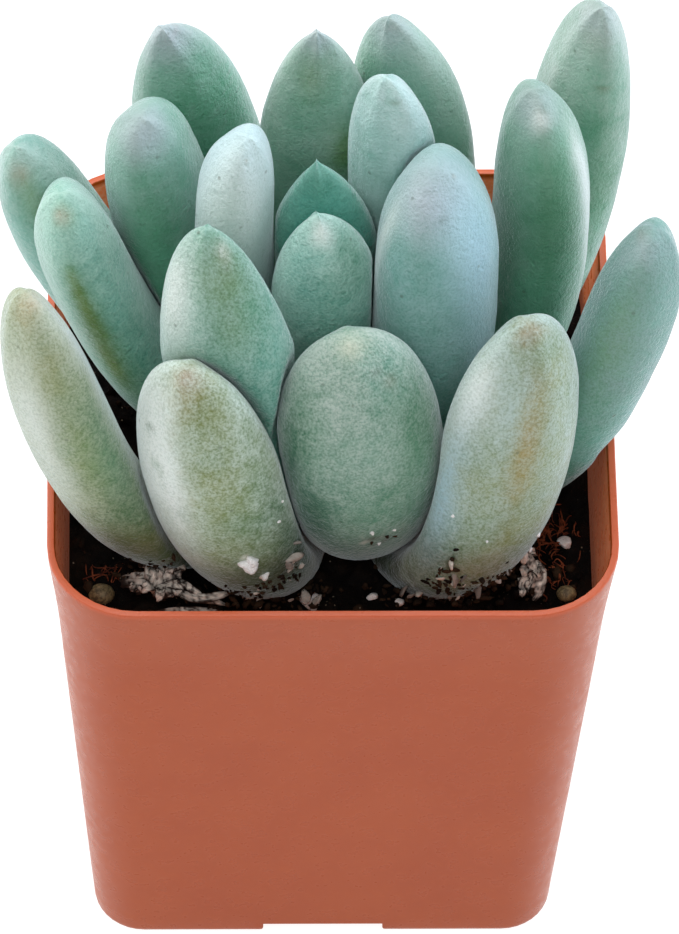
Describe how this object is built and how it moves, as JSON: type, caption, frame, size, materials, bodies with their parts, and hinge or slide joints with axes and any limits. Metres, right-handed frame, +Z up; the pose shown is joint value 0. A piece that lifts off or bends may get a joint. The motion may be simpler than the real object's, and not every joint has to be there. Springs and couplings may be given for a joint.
{
  "type": "potted clavifolia pachyveria",
  "caption": "Rosette of plump, upright blue-green club-shaped leaves on a short stem, growing in gritty soil in a square tapered plastic pot.",
  "frame": {"origin": "middle of the pot's footprint, on the surface that the pot stands on", "axes": "+Z up, along the stem; -Y towards the side that the picture shows; +X to the right seen from there"},
  "size_m": [0.0743, 0.064, 0.1125],
  "materials": {
    "pot_plastic": "satin",
    "potting_soil": "matte",
    "stem_skin": "matte",
    "leaf_olive_bloom": "matte",
    "leaf_blue_green": "matte",
    "leaf_pale_bloom": "matte",
    "leaf_deep_green": "matte",
    "withered_tissue": "matte",
    "perlite": "matte",
    "pebble": "matte"
  },
  "bodies": {
    "root": {"pot": "pot_plastic", "soil": "potting_soil", "stem": "stem_skin", "outer_leaf_front": "leaf_olive_bloom", "outer_leaf_front_left": "leaf_olive_bloom", "outer_leaf_front_right": "leaf_olive_bloom", "outer_leaf_left": "leaf_olive_bloom", "inner_leaf_front_left": "leaf_blue_green", "inner_leaf_right": "leaf_pale_bloom", "outer_leaf_right": "leaf_blue_green", "heart_leaf_front": "leaf_blue_green", "middle_leaf_left": "leaf_blue_green", "inner_leaf_left": "leaf_pale_bloom", "inner_leaf_back_right": "leaf_pale_bloom", "middle_leaf_right": "leaf_deep_green", "middle_leaf_back_left": "leaf_deep_green", "outer_leaf_back_left": "leaf_blue_green", "outer_leaf_back_right": "leaf_deep_green", "heart_leaf_back": "leaf_deep_green", "upper_leaf_back": "leaf_deep_green", "upper_leaf_back_right": "leaf_deep_green", "upper_leaf_back_left": "leaf_deep_green", "withered_leaf_left": "withered_tissue", "withered_leaf_left_long": "withered_tissue", "withered_leaf_right": "withered_tissue", "perlite_grain_1": "perlite", "perlite_grain_2": "perlite", "perlite_grain_3": "perlite", "perlite_grain_4": "perlite", "perlite_grain_5": "perlite", "perlite_grain_6": "perlite", "pebble_left": "pebble", "pebble_right": "pebble"}
  },
  "joints": []
}
